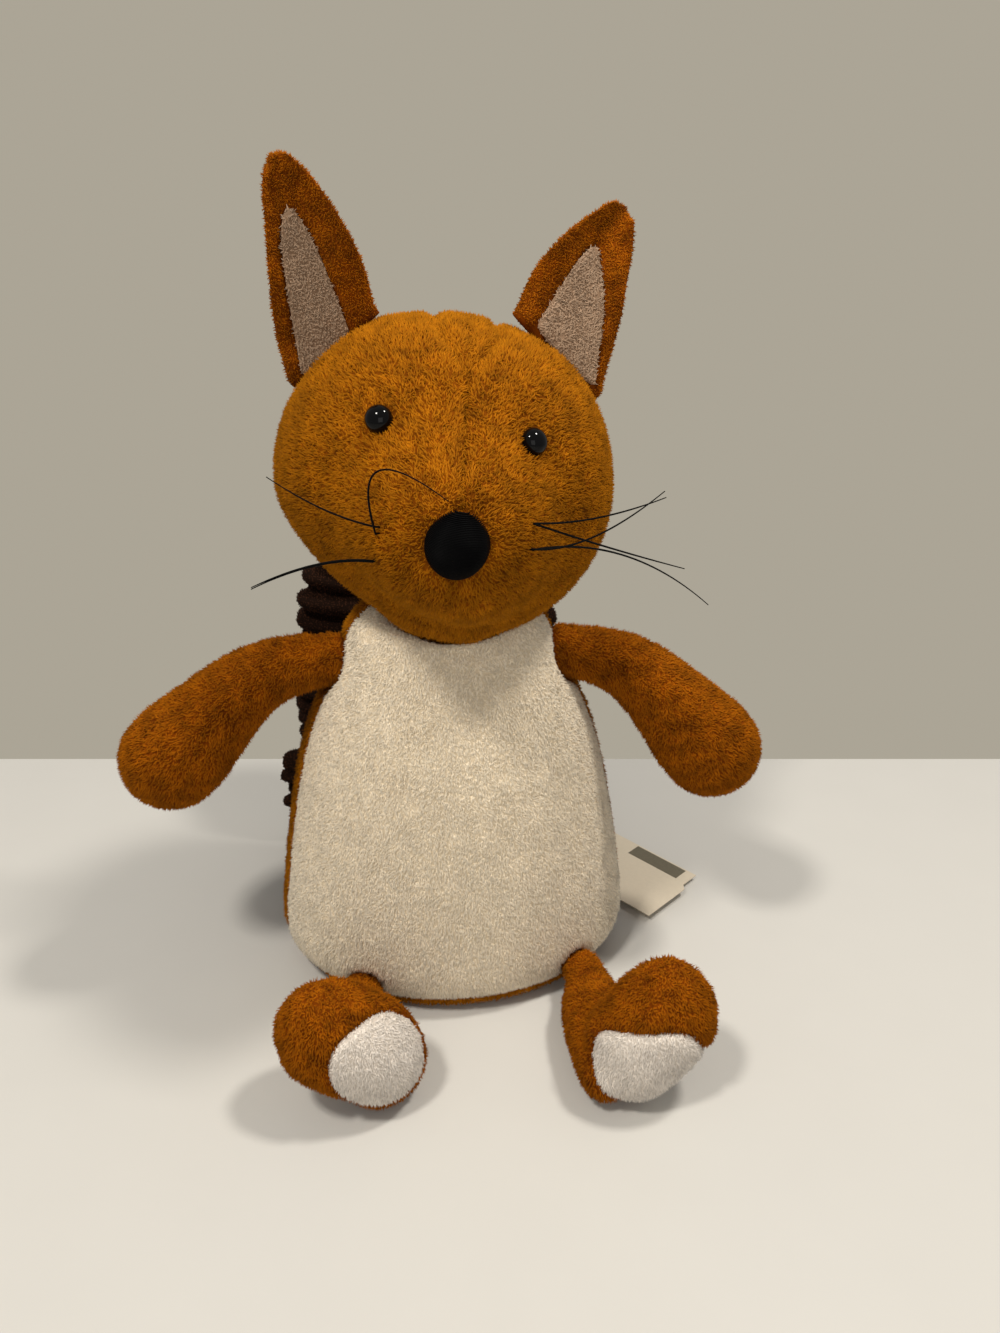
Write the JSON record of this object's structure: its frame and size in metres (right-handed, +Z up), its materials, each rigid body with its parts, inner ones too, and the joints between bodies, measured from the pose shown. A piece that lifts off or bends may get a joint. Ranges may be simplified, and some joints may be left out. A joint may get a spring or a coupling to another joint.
{
  "type": "plush squirrel",
  "caption": "Sitting stuffed squirrel of rust and cream plush with upright ears, a snout with whiskers, stubby limbs and a broad ribbed tail; head, ears, limbs and tail bend at their seams.",
  "frame": {"origin": "on the table, at the middle of the flat seat under the body", "axes": "+Z up, the toy faces -Y, its left is +X"},
  "size_m": [0.2108, 0.1857, 0.2643],
  "materials": {
    "rust_plush": "short curly pile plush, matt",
    "cream_plush": "short pile plush, matt",
    "brown_rib_plush": "ribbed plush, matt",
    "nose_thread": "satin-stitched thread",
    "eye_plastic": "moulded, high gloss",
    "whisker_nylon": "nylon filament",
    "washer_plastic": "moulded",
    "fibre_filling": "loose polyester fibre",
    "pouch_cloth": "woven cloth bag of pellets",
    "tag_card": "coated card, bare",
    "pin_plastic": "moulded"
  },
  "bodies": {
    "torso": {"belly_panel": "cream_plush", "back_panel": "rust_plush", "base_panel": "rust_plush", "body_filling": "fibre_filling", "pellet_pouch": "pouch_cloth", "tag_pin": "pin_plastic"},
    "neck": {"neck_plug": "rust_plush"},
    "head": {"head_panel_left": "rust_plush", "head_panel_right": "rust_plush", "head_filling": "fibre_filling", "eye_left": "eye_plastic", "eye_right": "eye_plastic", "eye_washer_left": "washer_plastic", "eye_washer_right": "washer_plastic", "nose": "nose_thread", "whisker_left_1": "whisker_nylon", "whisker_left_2": "whisker_nylon", "whisker_left_3": "whisker_nylon", "whisker_left_4": "whisker_nylon", "whisker_right_1": "whisker_nylon", "whisker_right_2": "whisker_nylon", "whisker_right_3": "whisker_nylon", "whisker_right_4": "whisker_nylon"},
    "ear_left": {"ear_cover_left": "rust_plush", "ear_lining_left": "cream_plush"},
    "ear_right": {"ear_cover_right": "rust_plush", "ear_lining_right": "cream_plush"},
    "arm_left": {"arm_cover_left": "rust_plush", "arm_filling_left": "fibre_filling"},
    "arm_right": {"arm_cover_right": "rust_plush", "arm_filling_right": "fibre_filling"},
    "leg_left": {"leg_cover_left": "rust_plush", "leg_filling_left": "fibre_filling", "sole_left": "cream_plush"},
    "leg_right": {"leg_cover_right": "rust_plush", "leg_filling_right": "fibre_filling", "sole_right": "cream_plush"},
    "tail": {"tail_cover": "brown_rib_plush", "tail_filling": "fibre_filling"},
    "tag": {"swing_tag": "tag_card"}
  },
  "joints": [
    {"name": "head_nod", "type": "hinge", "parent": "torso", "child": "neck", "pos_m": [0, -0.004, 0.1235], "axis": [1, 0, 0], "range_deg": [-8, 8], "stiffness_Nm_per_rad": 1},
    {"name": "head_turn", "type": "hinge", "parent": "neck", "child": "head", "pos_m": [0, -0.004, 0.1235], "axis": [0, 0, 1], "range_deg": [-22, 22], "stiffness_Nm_per_rad": 0.4},
    {"name": "ear_fold_left", "type": "hinge", "parent": "head", "child": "ear_left", "pos_m": [0.03586, -0.00037, 0.21063], "axis": [0.7125, 0.0124, -0.7015], "range_deg": [-15, 40], "stiffness_Nm_per_rad": 0.03},
    {"name": "ear_fold_right", "type": "hinge", "parent": "head", "child": "ear_right", "pos_m": [-0.03241, -0.00156, 0.21421], "axis": [0.7795, 0.0136, 0.6262], "range_deg": [-25, 30], "stiffness_Nm_per_rad": 0.03},
    {"name": "arm_lift_left", "type": "hinge", "parent": "torso", "child": "arm_left", "pos_m": [0.04112, -0.00231, 0.115], "axis": [0, -1, 0], "range_deg": [-8, 50], "stiffness_Nm_per_rad": 0.15},
    {"name": "arm_lift_right", "type": "hinge", "parent": "torso", "child": "arm_right", "pos_m": [-0.04112, -0.00231, 0.115], "axis": [0, 1, 0], "range_deg": [-8, 50], "stiffness_Nm_per_rad": 0.15},
    {"name": "leg_lift_left", "type": "hinge", "parent": "torso", "child": "leg_left", "pos_m": [0.04235, -0.0383, 0.0114], "axis": [-0.9903, -0.1392, 0], "range_deg": [-35, 36], "stiffness_Nm_per_rad": 0.15},
    {"name": "leg_lift_right", "type": "hinge", "parent": "torso", "child": "leg_right", "pos_m": [-0.0332, -0.0434, 0.0114], "axis": [-0.9877, -0.1564, 0], "range_deg": [-35, 36], "stiffness_Nm_per_rad": 0.15},
    {"name": "tail_lean", "type": "hinge", "parent": "torso", "child": "tail", "pos_m": [0, 0.05015, 0.024], "axis": [-1, 0, 0], "range_deg": [-2, 20], "stiffness_Nm_per_rad": 0.4},
    {"name": "tag_swing", "type": "hinge", "parent": "torso", "child": "tag", "pos_m": [0.05897, 0.04073, 0.0019], "axis": [0, 0, 1], "range_deg": [-8, 20]}
  ]
}
